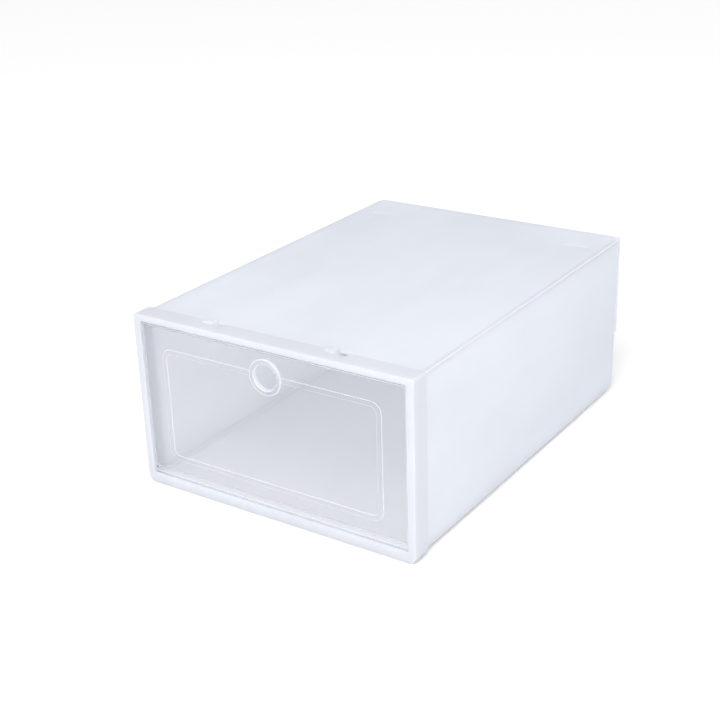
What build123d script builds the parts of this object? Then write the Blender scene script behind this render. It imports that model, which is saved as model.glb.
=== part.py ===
"""Stackable flip-door shoe box: a folding plastic sleeve, a push-on front frame and a drop-front door.

Millimetres, +Z up, the door faces -Y. The origin is at the centre of the box's footprint, on the
surface that it stands on. X and Y of every piece are worked out from that centre.
"""
from build123d import *
import os

# ---- Overall sizes -------------------------------------------------------------------------------
width = 235.0           # outside of the front frame
depth = 331.8           # front of the finger ring to the back of the flared rear flap
frame_height = 135.5    # outside of the front frame

# ---- Front frame ---------------------------------------------------------------------------------
frame_wall = 1.5        # skirt that wraps the sleeve
frame_return = 16.0     # how far the skirt reaches back
face_wall = 2.0         # thickness of the frame's front face
side_member = 6.0       # face width beside the door
top_member = 5.0
bottom_member = 8.6
foot_radius = 6.0       # the frame's lower outside corners
brow_radius = 2.0       # its upper outside corners
opening_radius = 1.5
rib_wall = 1.4          # inner rib that traps the sleeve's front edge
rib_reach = 6.0         # from the frame's front to the rib's end

# ---- Sleeve --------------------------------------------------------------------------------------
sleeve_wall = 1.2
sleeve_fit = 0.15       # clearance between the sleeve and the frame's groove
sleeve_setback = 0.2    # clearance between the sleeve's front edge and the frame's face
fold_gap = 0.4          # web left between the inside corners of two panels
fold_wall = 0.5         # thickness of every living hinge
flap_drop = 6.5         # the lower rear edge lies this much further forward than the upper one

# ---- Rear flaps ----------------------------------------------------------------------------------
upper_flap_end = 50.0   # height of the upper flap's free end
upper_flap_flare = 2.0  # how far that free end stands out
upper_flap_bevel = 1.0
lower_flap_top = 64.0
flap_side_gap = 1.2     # between the lower flap and each side wall
flap_floor_gap = 0.45   # under the lower flap when it is folded in
low_fold_slack = 0.65   # extra web that lets the lower flap turn inwards

# ---- Closing tabs of the upper flap and their slots ------------------------------------------------
tab_width = 24.0
tab_wall = 1.2
tab_height = 56.0
tab_offset = 60.0
tab_through = 3.0       # how far a tab stands through the lower flap
slot_play_x = 1.0
slot_play_z = 0.6

# ---- Catches, stacking feet and seats --------------------------------------------------------------
catch_places = (-58.0, 45.5)    # the two are not evenly placed, so the frame goes on one way round
catch_width = 8.0
catch_length = 8.0
catch_rise = 1.0        # above the frame's top
catch_setback = 11.0    # from the frame's front to the catch
catch_slope = 0.6
relief_width = 10.0     # slot to the right of each catch, which frees it to flex
notch_gap = 0.5         # clearance round a catch in the frame's skirt
foot_offset = 92.0
foot_width = 16.0
foot_length = 5.0
foot_from_back = 39.4
seat_width = 19.0       # shallow seats in the top for the feet of the next box
seat_length = 8.0
seat_depth = 0.5

# ---- Door ----------------------------------------------------------------------------------------
door_wall = 1.8
door_setback = 0.6      # behind the frame's front
door_side_gap = 0.6
door_top_gap = 1.2
door_corner = 2.5
pivot_height = 11.5
pivot_depth = 3.0       # behind the frame's front
barrel_radius = 2.4     # bead along the door's lower edge
pin_radius = 1.6
pin_length = 3.0
pin_play = 0.05         # radial running fit
pin_end_play = 0.6
stop_height = 3.6       # rib that the closed door meets
stop_gap = 0.5
stop_wall = 1.4
stop_inset = 6.0

# ---- Bead and finger ring --------------------------------------------------------------------------
bead_side_margin = 17.9     # from the door's edge to the bead
bead_top_margin = 15.6
bead_above_pivot = 13.5
bead_width = 4.2
bead_proud = 0.7
bead_corner = 8.5
bead_round = 0.35
ring_drop = 18.0        # from the door's top edge to the ring's centre
ring_radius = 13.5
finger_radius = 9.5
ring_proud = 2.0
ring_round = 0.8

# ---- Places worked out from those sizes ------------------------------------------------------------
half_width = width / 2
face_y = -depth / 2 + ring_proud - door_setback         # the frame's front
back_y = depth / 2 - upper_flap_flare                   # outside of the upper flap, at its fold
low_back_y = back_y - flap_drop                         # outside of the lower flap

sleeve_half = half_width - frame_wall - sleeve_fit
sleeve_low = frame_wall + sleeve_fit
sleeve_high = frame_height - frame_wall - sleeve_fit
sleeve_front = face_y + face_wall + sleeve_setback
low_corner_radius = foot_radius - frame_wall - sleeve_fit
brow_fold_radius = sleeve_wall + fold_gap               # folds along the upper edges and the upper flap
low_fold_radius = 1.5 * sleeve_wall + flap_floor_gap + low_fold_slack
groove_half = sleeve_half - sleeve_wall - sleeve_fit    # outside of the inner rib
groove_low = sleeve_low + sleeve_wall + sleeve_fit
groove_high = sleeve_high - sleeve_wall - sleeve_fit
rib_corner = low_corner_radius - sleeve_wall - sleeve_fit

opening_half = half_width - side_member
opening_high = frame_height - top_member
pivot_y = face_y + pivot_depth
door_y = face_y + door_setback                          # the door's front surface
door_half = opening_half - door_side_gap
door_high = opening_high - door_top_gap
ring_y = door_y - ring_proud
ring_height = door_high - ring_drop
bead_half = door_half - bead_side_margin
bead_low = pivot_height + bead_above_pivot
bead_high = door_high - bead_top_margin

catch_y = face_y + catch_setback                        # front of each catch
catch_top = frame_height + catch_rise
foot_y = back_y - foot_from_back
tab_root_y = back_y + upper_flap_flare - sleeve_wall / 2
beyond_y = face_y + 2 * frame_return                    # well behind the frame's rear edge

LEFT, RIGHT = -1, 1
LOW, HIGH = -1, 1


def facing_front(y):
    """The upright plane at depth y. A negative extrusion from it runs towards the back."""
    return Plane.XZ.offset(-y)


def outline(y, half, low, high, low_radius, high_radius):
    """A four-sided outline with rounded corners, on the upright plane at depth y."""
    with BuildSketch(facing_front(y)) as shape:
        with Locations((0, (low + high) / 2)):
            Rectangle(2 * half, high - low)
        fillet(shape.vertices().group_by(Axis.Y)[0], low_radius)
        fillet(shape.vertices().group_by(Axis.Y)[-1], high_radius)
    return shape.sketch


def block(x, y, z, mode=Mode.ADD):
    """A rectangular block between pairs of coordinates, in the part in hand."""
    with Locations(((x[0] + x[1]) / 2, (y[0] + y[1]) / 2, (z[0] + z[1]) / 2)):
        Box(abs(x[1] - x[0]), abs(y[1] - y[0]), abs(z[1] - z[0]), mode=mode)


def span(middle, length):
    """The two ends of a length centred on a place."""
    return (middle - length / 2, middle + length / 2)


def finish(piece, name):
    """Labels one finished piece and writes its STEP file."""
    piece.part.label = name
    export_step(piece.part, f"parts/{name}.step")


def quarter_strip(plane, centre, side, level, radius, length):
    """A living hinge: a thin quarter tube round centre, in the quadrant given by side and level."""
    aligned = {-1: Align.MAX, 1: Align.MIN}
    with BuildSketch(plane) as section:
        with Locations(centre):
            Circle(radius)
            Circle(radius - fold_wall, mode=Mode.SUBTRACT)
            Rectangle(radius, radius, align=(aligned[side], aligned[level]), mode=Mode.INTERSECT)
    extrude(section.sketch, amount=length)


def catch_notches(z):
    """Open notches in the frame's skirt, each wider than its catch on the right-hand side."""
    for place in catch_places:
        block((place - catch_width / 2 - notch_gap, place + catch_width / 2 + relief_width),
              (catch_y - notch_gap, beyond_y), z, mode=Mode.SUBTRACT)


def make_front_frame():
    """Rigid ring: front face, skirt over the sleeve, inner rib, door stop and the two pivot sockets."""
    inside_face = face_y + face_wall
    with BuildPart() as frame:
        extrude(outline(face_y, half_width, 0, frame_height, foot_radius, brow_radius), amount=-frame_return)
        hollow = outline(inside_face, half_width - frame_wall, frame_wall, frame_height - frame_wall,
                         foot_radius - frame_wall, brow_radius - frame_wall)
        extrude(hollow, amount=-frame_return, mode=Mode.SUBTRACT)
        rib = outline(inside_face, groove_half, groove_low, groove_high, rib_corner, opening_radius)
        extrude(rib, amount=face_wall - rib_reach)
        within_rib = outline(inside_face, groove_half - rib_wall, groove_low + rib_wall, groove_high - rib_wall,
                             opening_radius, opening_radius)
        extrude(within_rib, amount=-frame_return, mode=Mode.SUBTRACT)
        for side in (LEFT, RIGHT):
            block((side * opening_half, side * groove_half), (face_y, face_y + rib_reach),
                  (bottom_member, pivot_height + rib_reach - pivot_depth))
        stop_y = door_y + door_wall + stop_gap
        block((-opening_half + stop_inset, opening_half - stop_inset), (stop_y, stop_y + stop_wall),
              (opening_high - stop_height, groove_high - rib_wall / 2))
        opening = outline(face_y, opening_half, bottom_member, opening_high, opening_radius, opening_radius)
        extrude(opening, amount=-face_wall, mode=Mode.SUBTRACT)
        with Locations(Plane.YZ.shift_origin((0, pivot_y, pivot_height))):
            Cylinder(pin_radius + pin_play, 2 * (door_half + pin_length + pin_end_play), mode=Mode.SUBTRACT)
        catch_notches((frame_height - 2 * frame_wall, frame_height + frame_wall))
        catch_notches((-frame_wall, 2 * frame_wall))
    finish(frame, "front_frame")


def make_door():
    """Clear drop-front: panel, border bead, raised finger ring and the barrel with its two pins."""
    with BuildPart() as door:
        extrude(outline(door_y, door_half, pivot_height, door_high, door_corner, door_corner), amount=-door_wall)
        bead = outline(door_y, bead_half, bead_low, bead_high, bead_corner, bead_corner)
        extrude(bead, amount=bead_proud)
        within_bead = outline(door_y, bead_half - bead_width, bead_low + bead_width, bead_high - bead_width,
                              bead_corner - bead_width, bead_corner - bead_width)
        extrude(within_bead, amount=bead_proud, mode=Mode.SUBTRACT)
        fillet(door.edges().group_by(Axis.Y)[0], bead_round)
        with BuildSketch(facing_front(door_y)):
            with Locations((0, ring_height)):
                Circle(ring_radius)
        extrude(amount=ring_proud)
        fillet(door.edges().group_by(Axis.Y)[0], ring_round)
        with BuildSketch(facing_front(ring_y)):
            with Locations((0, ring_height)):
                Circle(finger_radius)
        extrude(amount=-(ring_proud + door_wall), mode=Mode.SUBTRACT)
        fillet(door.edges().filter_by(GeomType.CIRCLE).group_by(Axis.Y)[0], ring_round)
        with Locations(Plane.YZ.shift_origin((0, pivot_y, pivot_height))):
            Cylinder(barrel_radius, 2 * door_half)
            Cylinder(pin_radius, 2 * (door_half + pin_length))
    finish(door, "door")


def make_top_panel():
    """Top of the sleeve, with the two catches that hold the frame and two shallow rear stacking seats."""
    half = sleeve_half - brow_fold_radius
    inside = sleeve_high - sleeve_wall
    catch_reach = (catch_y, catch_y + catch_length)
    with BuildPart() as panel:
        block((-half, half), (sleeve_front, back_y - brow_fold_radius), (inside, sleeve_high))
        for place in catch_places:
            block(span(place, catch_width), catch_reach, (inside, catch_top))
            block((place + catch_width / 2, place + catch_width / 2 + relief_width), catch_reach,
                  (inside - sleeve_wall, sleeve_high + sleeve_wall), mode=Mode.SUBTRACT)
        for side in (LEFT, RIGHT):
            block(span(side * foot_offset, seat_width), span(foot_y, seat_length),
                  (sleeve_high - seat_depth, sleeve_high + sleeve_wall), mode=Mode.SUBTRACT)
        catch_lips = panel.edges().filter_by(Axis.X).group_by(Axis.Z)[-1].group_by(Axis.Y)[-1]
        chamfer(catch_lips, catch_slope)
    finish(panel, "top_panel")


def make_bottom_panel():
    """Floor of the sleeve, with two rear feet level with the frame's lower edge."""
    half = sleeve_half - low_corner_radius
    with BuildPart() as panel:
        block((-half, half), (sleeve_front, low_back_y - low_fold_radius), (sleeve_low, sleeve_low + sleeve_wall))
        for side in (LEFT, RIGHT):
            block(span(side * foot_offset, foot_width), span(foot_y, foot_length), (0, sleeve_low + sleeve_wall))
    finish(panel, "bottom_panel")


def make_side_wall(side, name):
    """One side of the sleeve, between the folds along its lower and upper edges."""
    with BuildPart() as wall:
        block((side * (sleeve_half - sleeve_wall), side * sleeve_half), (sleeve_front, low_back_y),
              (sleeve_low + low_corner_radius, sleeve_high - brow_fold_radius))
    finish(wall, name)


def make_corner_fold(side, level, name):
    """Living hinge along one long edge of the sleeve."""
    radius = low_corner_radius if level == LOW else brow_fold_radius
    edge_z = sleeve_low + radius if level == LOW else sleeve_high - radius
    rear_y = low_back_y - low_fold_radius if level == LOW else low_back_y
    with BuildPart() as fold:
        quarter_strip(facing_front(rear_y), (side * (sleeve_half - radius), edge_z), side, level, radius,
                      rear_y - sleeve_front)
    finish(fold, name)


def make_upper_back_flap():
    """Outer rear flap: hangs from the top panel, flares out towards its free end and carries two tabs."""
    top = sleeve_high - brow_fold_radius
    half = sleeve_half - brow_fold_radius
    with BuildPart() as flap:
        with BuildSketch(Plane.YZ.offset(-half)):
            with BuildLine():
                Polyline(
                    (back_y, top),
                    (back_y + upper_flap_flare, upper_flap_end + upper_flap_bevel),
                    (back_y + upper_flap_flare - upper_flap_bevel, upper_flap_end),
                    (back_y + upper_flap_flare - sleeve_wall, upper_flap_end),
                    (back_y - sleeve_wall, top),
                    close=True,
                )
            make_face()
        extrude(amount=2 * half)
        for side in (LEFT, RIGHT):
            block(span(side * tab_offset, tab_width), (low_back_y - sleeve_wall - tab_through, tab_root_y),
                  span(tab_height, tab_wall))
    finish(flap, "upper_back_flap")


def make_lower_back_flap():
    """Inner rear flap: stands on the bottom panel's fold, slotted for the tabs of the upper flap."""
    half = sleeve_half - sleeve_wall - flap_side_gap
    with BuildPart() as flap:
        block((-half, half), (low_back_y - sleeve_wall, low_back_y), (sleeve_low + low_fold_radius, lower_flap_top))
        for side in (LEFT, RIGHT):
            block(span(side * tab_offset, tab_width + 2 * slot_play_x),
                  span(low_back_y - sleeve_wall / 2, 2 * sleeve_wall),
                  span(tab_height, tab_wall + 2 * slot_play_z), mode=Mode.SUBTRACT)
        fillet(flap.edges().filter_by(Axis.Y).group_by(Axis.Z)[-1], foot_radius)
    finish(flap, "lower_back_flap")


def make_flap_fold(level, name):
    """Living hinge between a rear flap and the panel that carries it."""
    radius = low_fold_radius if level == LOW else brow_fold_radius
    half = sleeve_half - (sleeve_wall + flap_side_gap if level == LOW else brow_fold_radius)
    edge_y = (low_back_y if level == LOW else back_y) - radius
    edge_z = sleeve_low + radius if level == LOW else sleeve_high - radius
    with BuildPart() as fold:
        quarter_strip(Plane.YZ.offset(-half), (edge_y, edge_z), HIGH, level, radius, 2 * half)
    finish(fold, name)


os.makedirs("parts", exist_ok=True)
make_front_frame()
make_door()
make_top_panel()
make_bottom_panel()
make_side_wall(LEFT, "left_wall")
make_side_wall(RIGHT, "right_wall")
make_corner_fold(LEFT, HIGH, "top_left_fold")
make_corner_fold(RIGHT, HIGH, "top_right_fold")
make_corner_fold(LEFT, LOW, "bottom_left_fold")
make_corner_fold(RIGHT, LOW, "bottom_right_fold")
make_upper_back_flap()
make_lower_back_flap()
make_flap_fold(HIGH, "upper_flap_fold")
make_flap_fold(LOW, "lower_flap_fold")
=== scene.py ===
import math

import bmesh
import bpy
from mathutils import Matrix, Vector


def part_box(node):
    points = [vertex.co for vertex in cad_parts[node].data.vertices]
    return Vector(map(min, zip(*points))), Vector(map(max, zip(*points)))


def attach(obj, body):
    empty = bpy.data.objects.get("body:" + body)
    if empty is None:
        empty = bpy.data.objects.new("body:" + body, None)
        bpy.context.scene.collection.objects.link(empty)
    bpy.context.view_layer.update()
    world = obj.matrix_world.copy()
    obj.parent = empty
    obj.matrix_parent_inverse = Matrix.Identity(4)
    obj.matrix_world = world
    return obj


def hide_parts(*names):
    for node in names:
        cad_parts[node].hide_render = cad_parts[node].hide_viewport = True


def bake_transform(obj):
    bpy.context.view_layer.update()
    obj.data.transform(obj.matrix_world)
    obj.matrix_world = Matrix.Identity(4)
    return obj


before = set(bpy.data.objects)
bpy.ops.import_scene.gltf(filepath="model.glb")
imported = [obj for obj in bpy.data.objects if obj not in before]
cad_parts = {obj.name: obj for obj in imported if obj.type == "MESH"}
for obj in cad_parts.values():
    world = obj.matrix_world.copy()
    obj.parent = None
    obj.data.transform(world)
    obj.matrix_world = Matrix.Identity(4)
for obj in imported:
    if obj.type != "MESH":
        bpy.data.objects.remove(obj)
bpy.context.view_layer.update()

bl_info = {
    "name": "Drop-front shoe box",
    "version": (1, 0, 0),
    "blender": (4, 5, 0),
    "location": "View3D > Sidebar > Shoe box",
    "description": "Moulded shells and plastic finishes for a stackable drop-front shoe box",
    "category": "Object",
}

MM = 0.001
CORNER_STEPS = 8          # points on each rounded corner of an outline
ROUND_STEPS = 4           # points on each rounded edge of a section
TURN_STEPS = 72           # points round a turned piece
HINGE_STEPS = 12          # points across a living hinge
SMOOTH_ANGLE = math.radians(32)
LEAST_RADIUS = 0.05 * MM
WELD = MM / 1000          # points closer than this are one point
SAME_PLANE = MM / 100     # a point closer than this to a plane lies in it
EASE_LIMIT = 0.45         # most of an edge of a section that one rounding may take
# Faces past this slope get the door's edge finish, a painted highlight that is whiter and more opaque than
# the door plastic.
RIM_SLOPE = 0.99          # a face that turns further than this from the door's plane is a rim
SLEEVE = "sleeve_and_frame"
DOOR = "drop_front"
UPPER_FLAP = "upper_flap"
LOWER_FLAP = "lower_flap"
LEFT, RIGHT = -1, 1
LOW, HIGH = -1, 1


# ---- Mesh tools ------------------------------------------------------------------------------------

def outline(half, low, high, low_radius, high_radius, y):
    """Points of a four-sided outline with rounded corners, in the upright plane at depth y."""
    lower, upper = max(low_radius, LEAST_RADIUS), max(high_radius, LEAST_RADIUS)
    corners = (
        (half - lower, low + lower, lower, -90),
        (half - upper, high - upper, upper, 0),
        (upper - half, high - upper, upper, 90),
        (lower - half, low + lower, lower, 180),
    )
    points = []
    for x, z, radius, start in corners:
        for step in range(CORNER_STEPS + 1):
            turn = math.radians(start + 90 * step / CORNER_STEPS)
            points.append(Vector((x + radius * math.cos(turn), y, z + radius * math.sin(turn))))
    return points


def eased(path, radius, closed=True):
    """A path through sections, each corner of which is rounded. A section is a tuple of sizes."""
    sections = [Vector(section) for section in path]
    eased_path = []
    for index, here in enumerate(sections):
        if not closed and index in (0, len(sections) - 1):
            eased_path.append(here)
            continue
        before, after = sections[index - 1], sections[(index + 1) % len(sections)]
        start = here + (before - here) * min(EASE_LIMIT, radius / (before - here).length)
        end = here + (after - here) * min(EASE_LIMIT, radius / (after - here).length)
        for step in range(ROUND_STEPS + 1):
            t = step / ROUND_STEPS
            eased_path.append(start * (1 - t) ** 2 + here * 2 * t * (1 - t) + end * t ** 2)
    return eased_path


def loft(rings, closed):
    """A solid through rings of equal length. A closed loft joins its last ring to its first."""
    bm = bmesh.new()
    rows = [[bm.verts.new(point) for point in ring] for ring in rings]
    pairs = list(zip(rows, rows[1:]))
    if closed:
        pairs.append((rows[-1], rows[0]))
    else:
        bm.faces.new(rows[0])
        bm.faces.new(rows[-1])
    for one, two in pairs:
        for index in range(len(one)):
            after = (index + 1) % len(one)
            bm.faces.new((one[index], one[after], two[after], two[index]))
    bmesh.ops.remove_doubles(bm, verts=bm.verts, dist=WELD)
    bmesh.ops.recalc_face_normals(bm, faces=bm.faces)
    return bm


def turned(section, centre, axis):
    """A solid of revolution. Each point of the section is (distance along the axis, radius)."""
    axis = Vector(axis)
    side = axis.orthogonal().normalized()
    other = axis.cross(side)
    rings = []
    for along, radius in section:
        ring = []
        for step in range(TURN_STEPS):
            turn = 2 * math.pi * step / TURN_STEPS
            ring.append(Vector(centre) + axis * along
                        + (side * math.cos(turn) + other * math.sin(turn)) * radius)
        rings.append(ring)
    return loft(rings, closed=False)


def blockwork(added, cut=()):
    """A solid made of boxes, less other boxes, meshed in quads on one grid. A box is two corners."""
    bm = bmesh.new()
    lines = [sorted({round(corner[k], 7) for box in (*added, *cut) for corner in box}) for k in range(3)]
    made = {}

    def within(point, boxes):
        return any(all(low[k] < point[k] < high[k] for k in range(3)) for low, high in boxes)

    def filled(cell):
        if any(not 0 <= cell[k] < len(lines[k]) - 1 for k in range(3)):
            return False
        middle = [(lines[k][cell[k]] + lines[k][cell[k] + 1]) / 2 for k in range(3)]
        return within(middle, added) and not within(middle, cut)

    def vertex(key):
        if key not in made:
            made[key] = bm.verts.new([lines[k][key[k]] for k in range(3)])
        return made[key]

    cells = [(i, j, k) for i in range(len(lines[0]) - 1) for j in range(len(lines[1]) - 1)
             for k in range(len(lines[2]) - 1) if filled((i, j, k))]
    for cell in cells:
        for across in range(3):
            for step in (0, 1):
                beside = list(cell)
                beside[across] += 2 * step - 1
                if filled(beside):
                    continue
                u, v = [n for n in range(3) if n != across]
                loop = []
                for du, dv in ((0, 0), (1, 0), (1, 1), (0, 1)):
                    key = list(cell)
                    key[across] += step
                    key[u] += du
                    key[v] += dv
                    loop.append(vertex(tuple(key)))
                bm.faces.new(loop)
    bmesh.ops.recalc_face_normals(bm, faces=bm.faces)
    return bm


def round_edges(bm, radius, chosen, steps=3):
    """Rounds those sharp edges of a solid that chosen picks by their two ends."""
    edges = [edge for edge in bm.edges
             if edge.is_manifold and edge.calc_face_angle(0) > SMOOTH_ANGLE
             and chosen(edge.verts[0].co, edge.verts[1].co)]
    bmesh.ops.bevel(bm, geom=edges, offset=radius, segments=steps, profile=0.5, affect="EDGES",
                    clamp_overlap=True)


def off_planes(*planes):
    """Picks the edges that lie in none of the planes, each given as (axis, place)."""
    def chosen(end, other):
        return not any(abs(end[axis] - place) < SAME_PLANE and abs(other[axis] - place) < SAME_PLANE
                       for axis, place in planes)
    return chosen


def as_object(bm, name):
    """A mesh object in the scene that holds the solid."""
    mesh = bpy.data.meshes.new(name)
    bm.to_mesh(mesh)
    bm.free()
    piece = bpy.data.objects.new(name, mesh)
    bpy.context.scene.collection.objects.link(piece)
    return piece


def combine(piece, bm, operation):
    """Joins a solid to a piece, or cuts it from the piece."""
    tool = as_object(bm, "tool")
    modifier = piece.modifiers.new("combine", "BOOLEAN")
    modifier.operation = operation
    modifier.solver = "EXACT"
    modifier.object = tool
    evaluated = piece.evaluated_get(bpy.context.evaluated_depsgraph_get())
    mesh = bpy.data.meshes.new_from_object(evaluated)
    piece.modifiers.remove(modifier)
    spare = piece.data, tool.data
    piece.data = mesh
    bpy.data.objects.remove(tool)
    for old in spare:
        bpy.data.meshes.remove(old)


def dress(piece, nodes, material):
    """Gives a finished piece its finish, and hides the CAD nodes that it stands for."""
    mesh = piece.data
    mesh.name = piece.name
    mesh.materials.clear()
    mesh.materials.append(material)
    mesh.shade_smooth()
    mesh.set_sharp_from_angle(angle=SMOOTH_ANGLE)
    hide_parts(*nodes)


# ---- Finishes --------------------------------------------------------------------------------------

PLASTIC_IOR = 1.49
FRAME_ROUGHNESS = 0.30
SLEEVE_ROUGHNESS = 0.40
FOLD_ROUGHNESS = 0.42
DOOR_ROUGHNESS = 0.16
RIM_ROUGHNESS = 0.36
FLOOR_ROUGHNESS = 0.7
HAZE_SHADE = 0.965        # how light the milky plastic stays where the handling haze is full
HAZE_STOPS = (0.36, 0.0), (0.66, 1.0)
RIPPLE_SHADE = 0.97       # how light the clear plastic stays at the top of a ripple
SCRATCH_STOPS = (0.60, 0.0), (0.74, 1.0)
CLOUD_SCALE = 11.0        # patches of handling haze, to the metre
FLOW_SCALE = 7.0          # flow marks from moulding, drawn out along the box
RIPPLE_SCALE = 14.0
MATT_GRAIN_SCALE = 2400.0
CLEAR_GRAIN_SCALE = 1800.0
FLOW_STRETCH = (5.0, 1.0, 5.0)
SCRATCH_STRETCH = (14.0, 60.0, 900.0)
SCRATCH_TURN = (0.0, 0.5, 0.0)
DOOR_SCRATCHES = 0.3      # how much the wiping scratches show on the door
RIM_SCRATCHES = 0.02      # and on its rims
FINISH_NAMES = {
    "frame": "satin frame plastic",
    "door": "clear door plastic",
    "rim": "clear plastic with painted edge highlight",
    # The door's edge finish is a painted highlight along its rims and the sides of the bead and ring.
    "sleeve": "frosted sleeve plastic",
    "base": "frosted base plastic",
    "fold": "living hinge plastic",
}


class Wire:
    """A shader value. Arithmetic on it adds the Math nodes that work it out."""

    def __init__(self, graph, socket):
        self.graph = graph
        self.socket = socket

    def maths(self, operation, one, two):
        return self.graph.node("ShaderNodeMath", {"operation": operation}, {0: one, 1: two})

    def __add__(self, other):
        return self.maths("ADD", self, other)

    __radd__ = __add__

    def __mul__(self, other):
        return self.maths("MULTIPLY", self, other)

    __rmul__ = __mul__


class Graph:
    """Nodes of one material or of the room's light."""

    def __init__(self, tree):
        self.tree = tree

    def node(self, kind, settings=None, inputs=None, output=0):
        """Adds a node, sets it up, feeds its sockets by place or name, and returns one output."""
        made = self.tree.nodes.new(kind)
        for label, value in (settings or {}).items():
            if label == "stops":
                ramp = made.color_ramp
                for place, _ in value[2:]:
                    ramp.elements.new(place)
                for element, (place, level) in zip(ramp.elements, value):
                    element.position = place
                    element.color = (level, level, level, 1.0)
            else:
                setattr(made, label, value)
        for place, value in (inputs or {}).items():
            self.feed(made.inputs[place], value)
        return Wire(self, made.outputs[output])

    def feed(self, socket, value):
        if isinstance(value, Wire):
            self.tree.links.new(value.socket, socket)
        else:
            socket.default_value = value


class Finish(Graph):
    """One material: its surface shader and the nodes that feed it."""

    def __init__(self, name):
        self.material = bpy.data.materials.new(name)
        self.material.use_nodes = True
        super().__init__(self.material.node_tree)
        self.shader = self.tree.nodes["Principled BSDF"]

    def surface(self, **values):
        for label, value in values.items():
            self.feed(self.shader.inputs[label.replace("_", " ")], value)

    def let_light_through(self, tint, passing):
        """Turns a share of the surface into one that scatters light to its other side."""
        solid = Wire(self, self.shader.outputs[0])
        passed = self.node("ShaderNodeBsdfTranslucent", {}, {"Color": tint})
        mixed = self.node("ShaderNodeMixShader", {}, {0: passing, 1: solid, 2: passed})
        self.tree.links.new(mixed.socket, self.tree.nodes["Material Output"].inputs["Surface"])

    def place(self, stretch=(1.0, 1.0, 1.0), turn=(0.0, 0.0, 0.0)):
        """Position on the box, stretched and turned for drawn-out patterns."""
        here = self.node("ShaderNodeTexCoord", output="Object")
        return self.node("ShaderNodeMapping", {}, {"Vector": here, "Scale": stretch, "Rotation": turn})

    def noise(self, place, scale, detail=2.0, roughness=0.5):
        return self.node("ShaderNodeTexNoise", {}, {"Vector": place, "Scale": scale, "Detail": detail,
                                                    "Roughness": roughness})

    def ramp(self, value, *stops):
        return self.node("ShaderNodeValToRGB", {"stops": stops}, {"Fac": value})

    def blend(self, amount, one, two):
        """One colour turned towards another."""
        return self.node("ShaderNodeMix", {"data_type": "RGBA"}, {0: amount, 6: one, 7: two}, output=2)

    def relief(self, height, distance, strength, below=None):
        """A normal bent by a height, on top of a coarser one."""
        inputs = {"Height": height, "Distance": distance, "Strength": strength}
        if below:
            inputs["Normal"] = below
        return self.node("ShaderNodeBump", {}, inputs)


def shade(tint, factor=1.0):
    """A colour made lighter or darker, with full alpha."""
    return tuple(channel * factor for channel in tint[:3]) + (1.0,)


def milky_finish(name, tint, roughness, passing):
    """Milky moulded plastic: fine matt grain, faint flow marks, handling haze and soft waves."""
    finish = Finish(name)
    even = finish.place()
    drawn = finish.place(stretch=FLOW_STRETCH)
    cloud = finish.noise(even, CLOUD_SCALE, detail=3.0, roughness=0.55)
    flow = finish.noise(drawn, FLOW_SCALE)
    grain = finish.noise(even, MATT_GRAIN_SCALE, roughness=0.6)
    haze = finish.ramp(cloud * 0.6 + flow * 0.4, *HAZE_STOPS)
    waves = finish.relief(flow, distance=0.5 * MM, strength=0.3)
    tinted = finish.blend(haze, shade(tint), shade(tint, HAZE_SHADE))
    finish.surface(
        Base_Color=tinted,
        Roughness=haze * 0.08 + grain * 0.08 + (roughness - 0.08),
        Normal=finish.relief(grain, distance=0.02 * MM, strength=0.4, below=waves),
        IOR=PLASTIC_IOR,
    )
    finish.let_light_through(tinted, passing)
    return finish.material


def clear_finish(name, tint, cover, scratches, roughness):
    """Clear plastic with a little milk in it, soft ripples and fine wiping scratches."""
    finish = Finish(name)
    even = finish.place()
    drawn = finish.place(stretch=SCRATCH_STRETCH, turn=SCRATCH_TURN)
    ripple = finish.noise(even, RIPPLE_SCALE)
    grain = finish.noise(even, CLEAR_GRAIN_SCALE, roughness=0.6)
    scratch = finish.ramp(finish.noise(drawn, 1.0, detail=3.0, roughness=0.7), *SCRATCH_STOPS)
    soft = finish.relief(ripple, distance=0.6 * MM, strength=0.2)
    finish.surface(
        Base_Color=finish.blend(ripple, shade(tint), shade(tint, RIPPLE_SHADE)),
        Roughness=scratch * 0.10 + grain * 0.05 + roughness,
        Normal=finish.relief(scratch, distance=0.01 * MM, strength=scratches, below=soft),
        IOR=PLASTIC_IOR,
        Alpha=cover,
    )
    return finish.material


def finish_for(kind):
    """The material of that kind, made once and shared."""
    name = FINISH_NAMES[kind]
    known = bpy.data.materials.get(name)
    if known:
        return known
    scene = bpy.context.scene
    front, door, sleeve = scene.shoebox_frame, scene.shoebox_door, scene.shoebox_sleeve
    if kind == "frame":
        return milky_finish(name, front.tint, FRAME_ROUGHNESS, front.passing)
    if kind == "door":
        return clear_finish(name, door.tint, door.cover, DOOR_SCRATCHES, DOOR_ROUGHNESS)
    # The edge finish is the door plastic made whiter and more opaque, a painted highlight on the door's
    # rims.
    if kind == "rim":
        return clear_finish(name, door.edge_highlight_tint, door.edge_highlight_cover, RIM_SCRATCHES, RIM_ROUGHNESS)
    if kind == "fold":
        return milky_finish(name, sleeve.fold_tint, FOLD_ROUGHNESS, sleeve.fold_passing)
    if kind == "base":
        return milky_finish(name, sleeve.tint, SLEEVE_ROUGHNESS, sleeve.base_passing)
    return milky_finish(name, sleeve.tint, SLEEVE_ROUGHNESS, sleeve.passing)


# ---- Sizes and colours -----------------------------------------------------------------------------

def length(name, millimetres, description):
    return bpy.props.FloatProperty(name=name, description=description, default=millimetres * MM, min=0.0,
                                   unit="LENGTH", precision=4)


def share(name, default, description):
    return bpy.props.FloatProperty(name=name, description=description, default=default, min=0.0, max=1.0,
                                   subtype="FACTOR")


def colour(name, default, description):
    return bpy.props.FloatVectorProperty(name=name, description=description, default=default, size=3,
                                         subtype="COLOR", min=0.0, max=1.0)


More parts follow.
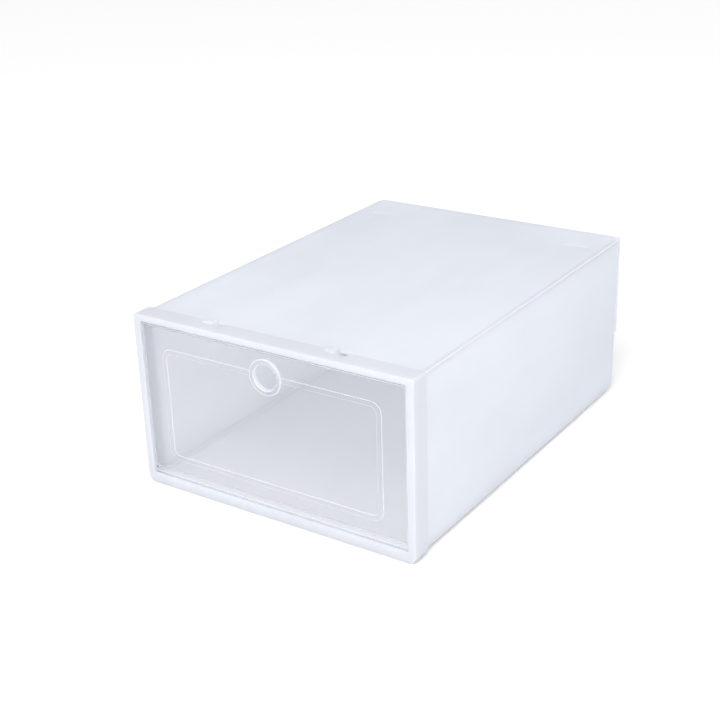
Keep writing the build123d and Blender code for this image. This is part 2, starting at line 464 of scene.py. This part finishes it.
class ShoeBoxFrame(bpy.types.PropertyGroup):
    tint: colour("Colour", (0.865, 0.880, 0.923), "Colour of the front frame")
    passing: share("Light let through", 0.45, "Share of the light on the frame that comes out behind it")
    skirt_wall: length("Skirt wall", 1.5, "Thickness of the skirt that wraps the sleeve")
    face_wall: length("Face wall", 2.0, "Thickness of the front face")
    side_member: length("Side member", 6.0, "Face width beside the door")
    top_member: length("Top member", 5.0, "Face height above the door")
    bottom_member: length("Bottom member", 8.6, "Face height below the door")
    foot_radius: length("Lower corner radius", 6.0, "Radius of the two lower outside corners")
    brow_radius: length("Upper corner radius", 2.0, "Radius of the two upper outside corners")
    opening_radius: length("Opening corner radius", 1.5, "Radius of the corners of the door opening")
    edge_radius: length("Edge radius", 0.7, "Rounding along the frame's edges")
    groove: length("Groove", 1.5, "Width of the groove that takes the sleeve's edge")
    rib_wall: length("Rib wall", 1.4, "Thickness of the inner rib behind the groove")
    rib_reach: length("Rib reach", 6.0, "Distance from the front face to the end of the inner rib")
    socket_radius: length("Socket radius", 1.65, "Radius of the two sockets for the door's pins")
    stop_height: length("Stop height", 3.6, "Height of the rib that the closed door meets")
    stop_wall: length("Stop wall", 1.4, "Thickness of that rib")
    stop_inset: length("Stop inset", 6.0, "Distance from the side of the opening to that rib")
    stop_gap: length("Stop gap", 0.5, "Distance from the closed door to that rib")
    notch_play: length("Notch play", 0.5, "Clearance round a catch in the skirt")


class ShoeBoxDoor(bpy.types.PropertyGroup):
    tint: colour("Colour", (0.53, 0.53, 0.55), "Colour of the clear door")
    cover: share("Cover", 0.22, "How much of what is behind the door its plastic hides")
    # The edge colour and cover paint a highlight along the door's rims and the sides of the bead and ring.
    edge_highlight_tint: colour("Edge colour", (0.90, 0.91, 0.94), "Colour of the door's edges, where light gathers")
    edge_highlight_cover: share("Edge cover", 0.46, "How much the door's thick edges hide")
    wall: length("Wall", 1.8, "Thickness of the door's panel")
    setback: length("Setback", 0.6, "Distance of the door's panel behind the frame's face")
    side_gap: length("Side gap", 0.6, "Gap between the door and the side of the opening")
    corner_radius: length("Corner radius", 2.5, "Radius of the door's corners")
    edge_radius: length("Edge radius", 0.25, "Rounding along the door's edges")
    pivot_height: length("Pivot height", 11.5, "Height of the door's hinge line")
    bead_margin: length("Bead side margin", 17.9, "Distance from the door's side edge to the bead")
    bead_top_margin: length("Bead top margin", 15.6, "Distance from the door's top edge to the bead")
    bead_above_pivot: length("Bead above the pivot", 13.5, "From the pivot up to the bead")
    bead_width: length("Bead width", 4.2, "Width of the raised border bead")
    bead_rise: length("Bead rise", 0.7, "Height of the bead above the panel")
    bead_corner: length("Bead corner radius", 8.5, "Outside corner radius of the bead")
    ring_drop: length("Ring drop", 18.0, "Distance from the door's top edge to the finger ring's centre")
    ring_radius: length("Ring radius", 13.5, "Outside radius of the finger ring")
    finger_radius: length("Finger hole radius", 9.5, "Radius of the finger hole")
    ring_rise: length("Ring rise", 2.0, "Height of the finger ring above the panel")
    ring_round: length("Ring rounding", 0.8, "Rounding of the finger ring's rim")
    barrel_radius: length("Barrel radius", 2.4, "Radius of the barrel along the door's lower edge")
    pin_radius: length("Pin radius", 1.6, "Radius of the two hinge pins")
    pin_length: length("Pin length", 3.0, "Length of each hinge pin")


class ShoeBoxSleeve(bpy.types.PropertyGroup):
    tint: colour("Colour", (0.928, 0.942, 0.971), "Colour of the frosted sleeve")
    fold_tint: colour("Fold colour", (0.936, 0.951, 0.982), "Colour of the living hinges")
    passing: share("Light let through", 0.65, "Share of the light on the sleeve that comes out behind it")
    base_passing: share("Light let through the base", 0.12, "The same share for the floor of the sleeve")
    fold_passing: share("Light let through the hinges", 0.45, "The same share for the living hinges")
    wall: length("Wall", 1.2, "Thickness of the sleeve's panels")
    fold_wall: length("Fold wall", 0.5, "Thickness of the living hinges")
    edge_radius: length("Edge radius", 0.3, "Rounding along the panels' free edges")
    catch_width: length("Catch width", 8.0, "Width of each catch on the top panel")
    catch_length: length("Catch length", 8.0, "Length of each catch")
    catch_setback: length("Catch setback", 11.0, "Distance from the frame's face to a catch")
    relief_width: length("Relief width", 10.0, "Width of the slot beside each catch")
    catch_places: bpy.props.FloatVectorProperty(name="Catch places", size=2, subtype="TRANSLATION",
                                                default=(-58 * MM, 45.5 * MM),
                                                description="Places of the two catches across the box")
    foot_offset: length("Foot offset", 92.0, "Distance of each rear foot and seat from the middle")
    foot_width: length("Foot width", 16.0, "Width of each rear foot")
    foot_length: length("Foot length", 5.0, "Length of each rear foot")
    foot_from_back: length("Foot from back", 39.4, "Distance from the rear edge to the feet and seats")
    seat_width: length("Stacking seat width", 19.0, "Width of each shallow stacking seat in the top")
    seat_length: length("Stacking seat length", 8.0, "Length of each stacking seat")
    seat_depth: length("Stacking seat depth", 0.5, "Depth of each stacking seat")


class ShoeBoxFlaps(bpy.types.PropertyGroup):
    flare: length("Flare", 2.0, "How far the upper flap's free end stands out")
    tab_width: length("Tab width", 24.0, "Width of each closing tab")
    tab_wall: length("Tab wall", 1.2, "Thickness of each closing tab")
    tab_height: length("Tab height", 56.0, "Height of the closing tabs above the floor")
    tab_offset: length("Tab offset", 60.0, "Distance of each tab from the middle")
    slot_play_across: length("Slot play across", 1.0, "Clearance beside a tab in its slot")
    slot_play_up: length("Slot play up", 0.6, "Clearance above and below a tab in its slot")
    corner_radius: length("Corner radius", 6.0, "Radius of the lower flap's top corners")


class ShoeBoxStage(bpy.types.PropertyGroup):
    azimuth: bpy.props.FloatProperty(name="Azimuth", description="Turn of the camera round the box",
                                     default=math.radians(34.220), subtype="ANGLE")
    elevation: bpy.props.FloatProperty(name="Elevation", description="Height of the camera as an angle",
                                       default=math.radians(23.400), subtype="ANGLE")
    roll: bpy.props.FloatProperty(name="Roll", description="Tilt of the camera about its line of sight",
                                  default=math.radians(-1.803), subtype="ANGLE")
    distance: bpy.props.FloatProperty(name="Distance", description="From the aim point to the camera",
                                      default=1.0382, unit="LENGTH")
    lens: bpy.props.FloatProperty(name="Lens", description="Focal length in millimetres", default=66.5)
    aim: bpy.props.FloatVectorProperty(name="Aim point", description="Point at the centre of the view",
                                       default=(-0.0202, -0.02055, 0.0655), size=3, subtype="TRANSLATION")
    floor_tint: colour("Floor colour", (0.985, 0.985, 0.985), "Colour of the floor")
    lean: bpy.props.FloatVectorProperty(name="Lean of the light", size=3, default=(0.24, -0.31, 0.0),
                                        description="Where the room's light is stronger, and by how much")
    sky: bpy.props.FloatProperty(name="Room light", description="Strength of the even light of the room",
                                 default=0.98, min=0.0)
    key_power: bpy.props.FloatProperty(name="Key light", description="Power of the soft lamp in watts",
                                       default=12.5, min=0.0)
    key_size: length("Key light size", 1000.0, "Width of the soft lamp")
    key_place: bpy.props.FloatVectorProperty(name="Key light place", description="Place of the soft lamp",
                                             default=(0.35, -1.1, 1.5), size=3, subtype="TRANSLATION")
    key_aim: bpy.props.FloatVectorProperty(name="Key light aim", description="Point that the lamp faces",
                                           default=(0.0, 0.0, 0.06), size=3, subtype="TRANSLATION")


# ---- Pieces ----------------------------------------------------------------------------------------

NOTCH_DEPTH = 1.6         # depth of the notches as a multiple of the skirt's wall
RING_CORE = 0.4           # the finger ring's solid starts at this share of its radius


class SHOEBOX_OT_front_frame(bpy.types.Operator):
    """Make the rigid front frame with its skirt, rib, door stop, pin sockets and notches"""
    bl_idname = "shoebox.front_frame"
    bl_label = "Front frame"

    def execute(self, context):
        sizes = context.scene.shoebox_frame
        low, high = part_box("front_frame")
        self.half, self.top, self.front, self.rear = high.x, high.z, low.y, high.y
        piece = as_object(self.shell(sizes), "front_frame_shell")
        combine(piece, self.blocks(sizes, context.scene.shoebox_door), "UNION")
        combine(piece, self.notches(sizes, context.scene.shoebox_sleeve), "DIFFERENCE")
        combine(piece, self.sockets(sizes, context.scene.shoebox_door), "DIFFERENCE")
        dress(piece, ["front_frame"], finish_for("frame"))
        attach(piece, SLEEVE)
        return {"FINISHED"}

    def shell(self, sizes):
        """The ring itself, lofted round its own section."""
        skirt = sizes.skirt_wall
        groove = skirt + sizes.groove
        rib = groove + sizes.rib_wall
        inside_face = self.front + sizes.face_wall
        rib_end = self.front + sizes.rib_reach
        round_low, round_high, corner = sizes.foot_radius, sizes.brow_radius, sizes.opening_radius
        opening = (sizes.side_member, sizes.bottom_member, sizes.top_member, corner, corner)
        inner = (rib, rib, rib, corner, corner)
        outer = (0.0, 0.0, 0.0, round_low, round_high)
        lined = (skirt, skirt, skirt, round_low - skirt, round_high - skirt)
        grooved = (groove, groove, groove, round_low - groove, corner)
        path = [(*outer, self.front), (*outer, self.rear), (*lined, self.rear), (*lined, inside_face),
                (*grooved, inside_face), (*grooved, rib_end), (*inner, rib_end), (*inner, inside_face),
                (*opening, inside_face), (*opening, self.front)]
        rings = []
        for side, base, crown, low_radius, high_radius, y in eased(path, sizes.edge_radius):
            rings.append(outline(self.half - side, base, self.top - crown, low_radius, high_radius, y))
        return loft(rings, closed=True)

    def blocks(self, sizes, door):
        """The two pivot blocks and the stop rib."""
        opening = self.half - sizes.side_member
        rib_outside = self.half - sizes.skirt_wall - sizes.groove
        overlap = sizes.rib_wall / 2
        pivot_top = door.pivot_height + sizes.rib_reach / 2
        added = []
        for side in (LEFT, RIGHT):
            ends = sorted((side * opening, side * (rib_outside - overlap)))
            added.append(((ends[0], self.front + sizes.face_wall / 2, sizes.bottom_member - overlap),
                          (ends[1], self.front + sizes.rib_reach, pivot_top)))
        stop = self.front + door.setback + door.wall + sizes.stop_gap
        reach = opening - sizes.stop_inset
        crown = self.top - sizes.top_member
        added.append(((-reach, stop, crown - sizes.stop_height),
                      (reach, stop + sizes.stop_wall, crown + overlap)))
        bm = blockwork(added)
        round_edges(bm, sizes.edge_radius / 3, lambda one, two: True, steps=2)
        return bm

    def notches(self, sizes, sleeve):
        """Solids that cut the skirt open round each catch, above and below."""
        added = []
        skirt, play = sizes.skirt_wall, sizes.notch_play
        front = self.front + sleeve.catch_setback - play
        rear = self.rear + sizes.rib_reach
        for place in sleeve.catch_places:
            left = place - sleeve.catch_width / 2 - play
            right = place + sleeve.catch_width / 2 + sleeve.relief_width
            for base in (-skirt, self.top - NOTCH_DEPTH * skirt):
                crown = base + (1 + NOTCH_DEPTH) * skirt
                added.append(((left, front, base), (right, rear, crown)))
        bm = blockwork(added)
        round_edges(bm, sizes.edge_radius, lambda one, two: abs(one.z - two.z) > MM and one.y < front + MM)
        return bm

    def sockets(self, sizes, door):
        reach = self.half - sizes.skirt_wall - sizes.groove
        centre = (0.0, self.front + sizes.rib_reach / 2, door.pivot_height)
        radius = sizes.socket_radius
        return turned([(-reach, radius), (reach, radius)], centre, (1, 0, 0))


class SHOEBOX_OT_door(bpy.types.Operator):
    """Make the clear drop-front with its bead, finger ring, barrel and pins"""
    bl_idname = "shoebox.door"
    bl_label = "Door"

    def execute(self, context):
        sizes = context.scene.shoebox_door
        low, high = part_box("door")
        self.half = high.x - sizes.pin_length
        self.top = high.z
        self.front = low.y + sizes.ring_rise
        self.ring_centre = (0.0, self.front, self.top - sizes.ring_drop)
        piece = as_object(self.panel(sizes), "drop_front_door")
        combine(piece, self.bead(sizes), "UNION")
        combine(piece, self.ring(sizes), "UNION")
        combine(piece, self.hole(sizes), "DIFFERENCE")
        combine(piece, self.barrel(sizes, high.y), "UNION")
        dress(piece, ["door"], finish_for("door"))
        # Faces that turn away from the door's plane take the painted edge highlight.
        piece.data.materials.append(finish_for("rim"))
        for face in piece.data.polygons:
            face.material_index = int(abs(face.normal.y) < RIM_SLOPE)
        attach(piece, DOOR)
        return {"FINISHED"}

    def panel(self, sizes):
        back = self.front + sizes.wall
        inner = sizes.corner_radius
        path = [(inner, self.front), (0.0, self.front), (0.0, back), (inner, back)]
        rings = []
        for inset, y in eased(path, sizes.edge_radius, closed=False):
            radius = max(sizes.corner_radius - inset, LEAST_RADIUS)
            base = sizes.pivot_height + inset
            rings.append(outline(self.half - inset, base, self.top - inset, radius, radius, y))
        return loft(rings, closed=False)

    def bead(self, sizes):
        base = sizes.pivot_height + sizes.bead_above_pivot
        crown = self.top - sizes.bead_top_margin
        half = self.half - sizes.bead_margin
        rise, width = sizes.bead_rise, sizes.bead_width
        path = [(0.0, self.front + rise), (0.0, self.front - rise), (width, self.front - rise),
                (width, self.front + rise)]
        rings = []
        for inset, y in eased(path, rise / 2):
            radius = sizes.bead_corner - inset
            rings.append(outline(half - inset, base + inset, crown - inset, radius, radius, y))
        return loft(rings, closed=True)

    def ring(self, sizes):
        rise, rounding, radius = sizes.ring_rise, sizes.ring_round, sizes.ring_radius
        core = radius * RING_CORE
        path = [(rise / 2, core), (rise / 2, radius), (-rise, radius), (-rise, core)]
        return turned(eased(path, rounding, closed=False), self.ring_centre, (0, 1, 0))

    def hole(self, sizes):
        rise, rounding, radius, back = sizes.ring_rise, sizes.ring_round, sizes.finger_radius, sizes.wall
        path = [(-2 * rise, radius + rounding), (-rise, radius + rounding), (-rise + rounding, radius),
                (back - sizes.edge_radius, radius), (back, radius + sizes.edge_radius),
                (back + rise, radius + sizes.edge_radius)]
        return turned(eased(path, rounding / 2, closed=False), self.ring_centre, (0, 1, 0))

    def barrel(self, sizes, rear):
        half, pin = self.half, self.half + sizes.pin_length
        centre = (0.0, rear - sizes.barrel_radius, sizes.pivot_height)
        path = [(-pin, sizes.pin_radius / 3), (-pin, sizes.pin_radius), (-half, sizes.pin_radius),
                (-half, sizes.barrel_radius), (half, sizes.barrel_radius), (half, sizes.pin_radius),
                (pin, sizes.pin_radius), (pin, sizes.pin_radius / 3)]
        return turned(eased(path, sizes.edge_radius, closed=False), centre, (1, 0, 0))


class SHOEBOX_OT_sleeve_panels(bpy.types.Operator):
    """Make the four panels of the folding sleeve"""
    bl_idname = "shoebox.sleeve_panels"
    bl_label = "Sleeve panels"

    def execute(self, context):
        sizes = context.scene.shoebox_sleeve
        solids = {"top_panel": self.top_panel(sizes), "bottom_panel": self.bottom_panel(sizes),
                  "left_wall": self.wall("left_wall", sizes), "right_wall": self.wall("right_wall", sizes)}
        for node, bm in solids.items():
            piece = as_object(bm, "sleeve_" + node)
            kind = "base" if node == "bottom_panel" else "sleeve"
            dress(piece, [node], finish_for(kind))
            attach(piece, SLEEVE)
        return {"FINISHED"}

    def top_panel(self, sizes):
        low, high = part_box("top_panel")
        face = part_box("top_left_fold")[1].z
        catch_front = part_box("front_frame")[0].y + sizes.catch_setback
        catch_rear = catch_front + sizes.catch_length
        seat_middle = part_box("upper_flap_fold")[1].y - sizes.foot_from_back
        added = [((low.x, low.y, low.z), (high.x, high.y, face))]
        cut = []
        for place in sizes.catch_places:
            left, right = place - sizes.catch_width / 2, place + sizes.catch_width / 2
            relief = right + sizes.relief_width
            added.append(((left, catch_front, low.z), (right, catch_rear, high.z)))
            cut.append(((right, catch_front, low.z - MM), (relief, catch_rear, high.z + MM)))
        across, along = sizes.seat_width / 2, sizes.seat_length / 2
        for side in (LEFT, RIGHT):
            middle = side * sizes.foot_offset
            cut.append(((middle - across, seat_middle - along, face - sizes.seat_depth),
                        (middle + across, seat_middle + along, high.z + MM)))
        bm = blockwork(added, cut)
        round_edges(bm, sizes.edge_radius, off_planes((0, low.x), (0, high.x), (1, high.y)))
        return bm

    def bottom_panel(self, sizes):
        low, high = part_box("bottom_panel")
        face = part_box("bottom_left_fold")[0].z
        foot_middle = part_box("upper_flap_fold")[1].y - sizes.foot_from_back
        added = [((low.x, low.y, face), (high.x, high.y, high.z))]
        across, along = sizes.foot_width / 2, sizes.foot_length / 2
        for side in (LEFT, RIGHT):
            middle = side * sizes.foot_offset
            added.append(((middle - across, foot_middle - along, low.z),
                          (middle + across, foot_middle + along, high.z)))
        bm = blockwork(added)
        round_edges(bm, sizes.edge_radius, off_planes((0, low.x), (0, high.x), (1, high.y)))
        return bm

    def wall(self, node, sizes):
        low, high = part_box(node)
        bm = blockwork([(tuple(low), tuple(high))])
        round_edges(bm, sizes.edge_radius, off_planes((2, low.z), (2, high.z)))
        return bm


def hinge_strip(centre, outer, inner, first, second, along, start, end):
    """A living hinge: a quarter tube from the first direction round to the second."""
    centre, first, second, along = Vector(centre), Vector(first), Vector(second), Vector(along)
    section = []
    for radius, order in ((outer, range(HINGE_STEPS + 1)), (inner, range(HINGE_STEPS, -1, -1))):
        for step in order:
            turn = math.pi / 2 * step / HINGE_STEPS
            section.append(centre + (first * math.cos(turn) + second * math.sin(turn)) * radius)
    return loft([[point + along * start for point in section], [point + along * end for point in section]],
                closed=False)


class SHOEBOX_OT_corner_folds(bpy.types.Operator):
    """Make the four living hinges along the sleeve's long edges"""
    bl_idname = "shoebox.corner_folds"
    bl_label = "Corner folds"

    def execute(self, context):
        wall = context.scene.shoebox_sleeve.fold_wall
        for name, side, level in (("top_left", LEFT, HIGH), ("top_right", RIGHT, HIGH),
                                  ("bottom_left", LEFT, LOW), ("bottom_right", RIGHT, LOW)):
            low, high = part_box(name + "_fold")
            radius = high.z - low.z
            centre = (low.x if side == RIGHT else high.x, 0.0, low.z if level == HIGH else high.z)
            bm = hinge_strip(centre, radius, radius - wall, (side, 0, 0), (0, 0, level), (0, 1, 0),
                             low.y, high.y)
            piece = as_object(bm, name + "_corner_fold")
            dress(piece, [name + "_fold"], finish_for("fold"))
            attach(piece, SLEEVE)
        return {"FINISHED"}


class SHOEBOX_OT_rear_flaps(bpy.types.Operator):
    """Make the two rear flaps, with their closing tabs and slots"""
    bl_idname = "shoebox.rear_flaps"
    bl_label = "Rear flaps"

    def execute(self, context):
        sizes = context.scene.shoebox_flaps
        sleeve = context.scene.shoebox_sleeve
        for node, bm, body in (("upper_back_flap", self.upper(sizes, sleeve), UPPER_FLAP),
                               ("lower_back_flap", self.lower(sizes, sleeve), LOWER_FLAP)):
            piece = as_object(bm, node + "_panel")
            dress(piece, [node], finish_for("sleeve"))
            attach(piece, body)
        return {"FINISHED"}

    def tabs(self, sizes, play_across, play_up, front, rear):
        """A box for each tab, or for its slot when there is play."""
        across = sizes.tab_width / 2 + play_across
        up = sizes.tab_wall / 2 + play_up
        return [((side * sizes.tab_offset - across, front, sizes.tab_height - up),
                 (side * sizes.tab_offset + across, rear, sizes.tab_height + up)) for side in (LEFT, RIGHT)]

    def upper(self, sizes, sleeve):
        """Built upright against the fold, then leaned outwards towards its free end."""
        low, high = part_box("upper_back_flap")
        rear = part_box("upper_flap_fold")[1].y
        run = high.z - low.z
        lean_at_tab = sizes.flare * (high.z - sizes.tab_height) / run
        added = [((low.x, rear - sleeve.wall, low.z), (high.x, rear, high.z))]
        added += self.tabs(sizes, 0.0, 0.0, low.y - lean_at_tab, rear - sleeve.wall / 2)
        bm = blockwork(added)
        round_edges(bm, sleeve.edge_radius, off_planes((2, high.z)))
        for vertex in bm.verts:
            vertex.co.y += sizes.flare * (high.z - vertex.co.z) / run
        return bm

    def lower(self, sizes, sleeve):
        low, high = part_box("lower_back_flap")
        cut = self.tabs(sizes, sizes.slot_play_across, sizes.slot_play_up, low.y - MM, high.y + MM)
        bm = blockwork([(tuple(low), tuple(high))], cut)
        corners = [edge for edge in bm.edges
                   if abs(edge.verts[0].co.y - edge.verts[1].co.y) > MM / 2
                   and all(end.co.z > high.z - MM and abs(end.co.x) > high.x - MM for end in edge.verts)]
        bmesh.ops.bevel(bm, geom=corners, offset=sizes.corner_radius, segments=CORNER_STEPS, profile=0.5,
                        affect="EDGES")
        round_edges(bm, sleeve.edge_radius, off_planes((2, low.z)))
        return bm


class SHOEBOX_OT_flap_folds(bpy.types.Operator):
    """Make the two living hinges at the rear flaps"""
    bl_idname = "shoebox.flap_folds"
    bl_label = "Flap folds"

    def execute(self, context):
        wall = context.scene.shoebox_sleeve.fold_wall
        for level, flap, node in ((HIGH, UPPER_FLAP, "upper_flap_fold"),
                                  (LOW, LOWER_FLAP, "lower_flap_fold")):
            low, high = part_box(node)
            radius = high.z - low.z
            edge = low.z if level == HIGH else high.z
            bm = hinge_strip((0.0, low.y, edge), radius, radius - wall, (0, 0, level), (0, 1, 0), (1, 0, 0),
                             low.x, high.x)
            piece = as_object(bm, node + "_web")
            dress(piece, [node], finish_for("fold"))
            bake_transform(piece)
        return {"FINISHED"}


# ---- Stage -----------------------------------------------------------------------------------------

FLOOR_REACH = 6.0         # metres from the middle to each side of the floor
FLOOR_DROP = 0.1 * MM     # how far the floor lies below the feet
SENSOR_WIDTH = 36.0
FARTHEST = 50.0           # metres that the camera sees


class SHOEBOX_OT_stage(bpy.types.Operator):
    """Set up the floor, the soft lights and the camera"""
    bl_idname = "shoebox.stage"
    bl_label = "Stage"

    def execute(self, context):
        stage = context.scene.shoebox_stage
        context.scene.view_settings.view_transform = "Standard"
        self.add_floor(stage)
        self.add_lamp(context.scene, stage)
        self.add_room_light(context.scene, stage)
        self.add_camera(context.scene, stage)
        return {"FINISHED"}

    def add_floor(self, stage):
        bm = bmesh.new()
        corners = ((-FLOOR_REACH, -FLOOR_REACH), (FLOOR_REACH, -FLOOR_REACH),
                   (FLOOR_REACH, FLOOR_REACH), (-FLOOR_REACH, FLOOR_REACH))
        bm.faces.new([bm.verts.new((x, y, -FLOOR_DROP)) for x, y in corners])
        floor = as_object(bm, "floor")
        finish = Finish("pale floor")
        finish.surface(Base_Color=shade(stage.floor_tint), Roughness=FLOOR_ROUGHNESS)
        floor.data.materials.append(finish.material)

    def add_lamp(self, scene, stage):
        data = bpy.data.lights.new("key_light", "AREA")
        data.shape = "DISK"
        data.size = stage.key_size
        data.energy = stage.key_power
        lamp = bpy.data.objects.new("key_light", data)
        lamp.location = stage.key_place
        aim = Vector(stage.key_aim) - Vector(stage.key_place)
        lamp.rotation_euler = aim.to_track_quat("-Z", "Y").to_euler()
        scene.collection.objects.link(lamp)

    def add_room_light(self, scene, stage):
        """Even light from all round, a little stronger from the front right."""
        world = bpy.data.worlds.new("studio")
        world.use_nodes = True
        graph = Graph(world.node_tree)
        towards = graph.node("ShaderNodeTexCoord", output="Generated")
        lean = graph.node("ShaderNodeVectorMath", {"operation": "DOT_PRODUCT"},
                          {0: towards, 1: stage.lean}, output=1)
        background = world.node_tree.nodes["Background"]
        background.inputs["Color"].default_value = (1.0, 1.0, 1.0, 1.0)
        graph.feed(background.inputs["Strength"], (lean + 1.0) * stage.sky)
        scene.world = world

    def add_camera(self, scene, stage):
        turn, rise, roll = stage.azimuth, stage.elevation, stage.roll
        back = Vector((math.sin(turn) * math.cos(rise), -math.cos(turn) * math.cos(rise), math.sin(rise)))
        level = Vector((math.cos(turn), math.sin(turn), 0.0))
        upright = back.cross(level)
        right = level * math.cos(roll) + upright * math.sin(roll)
        up = upright * math.cos(roll) - level * math.sin(roll)
        data = bpy.data.cameras.new("camera")
        data.lens = stage.lens
        data.sensor_width = SENSOR_WIDTH
        data.clip_end = FARTHEST
        camera = bpy.data.objects.new("camera", data)
        axes = Matrix((right, up, back)).transposed().to_4x4()
        camera.matrix_world = Matrix.Translation(Vector(stage.aim) + back * stage.distance) @ axes
        scene.collection.objects.link(camera)
        scene.camera = camera


# ---- Add-on ----------------------------------------------------------------------------------------

GROUPS = {"shoebox_frame": ShoeBoxFrame, "shoebox_door": ShoeBoxDoor, "shoebox_sleeve": ShoeBoxSleeve,
          "shoebox_flaps": ShoeBoxFlaps, "shoebox_stage": ShoeBoxStage}
STEPS = (SHOEBOX_OT_front_frame, SHOEBOX_OT_door, SHOEBOX_OT_sleeve_panels, SHOEBOX_OT_corner_folds,
         SHOEBOX_OT_rear_flaps, SHOEBOX_OT_flap_folds, SHOEBOX_OT_stage)


class SHOEBOX_PT_panel(bpy.types.Panel):
    """The steps that make the shoe box, in order"""
    bl_idname = "SHOEBOX_PT_panel"
    bl_label = "Shoe box"
    bl_space_type = "VIEW_3D"
    bl_region_type = "UI"
    bl_category = "Shoe box"

    def draw(self, context):
        for step in STEPS:
            self.layout.operator(step.bl_idname)


def register():
    for group in GROUPS.values():
        bpy.utils.register_class(group)
    for name, group in GROUPS.items():
        setattr(bpy.types.Scene, name, bpy.props.PointerProperty(type=group))
    for step in (*STEPS, SHOEBOX_PT_panel):
        bpy.utils.register_class(step)


def unregister():
    for step in reversed((*STEPS, SHOEBOX_PT_panel)):
        bpy.utils.unregister_class(step)
    for name, group in reversed(GROUPS.items()):
        delattr(bpy.types.Scene, name)
        bpy.utils.unregister_class(group)


def main():
    register()
    bpy.ops.shoebox.front_frame()
    bpy.ops.shoebox.door()
    bpy.ops.shoebox.sleeve_panels()
    bpy.ops.shoebox.corner_folds()
    bpy.ops.shoebox.rear_flaps()
    bpy.ops.shoebox.flap_folds()
    bpy.ops.shoebox.stage()


if __name__ == "__main__":
    main()
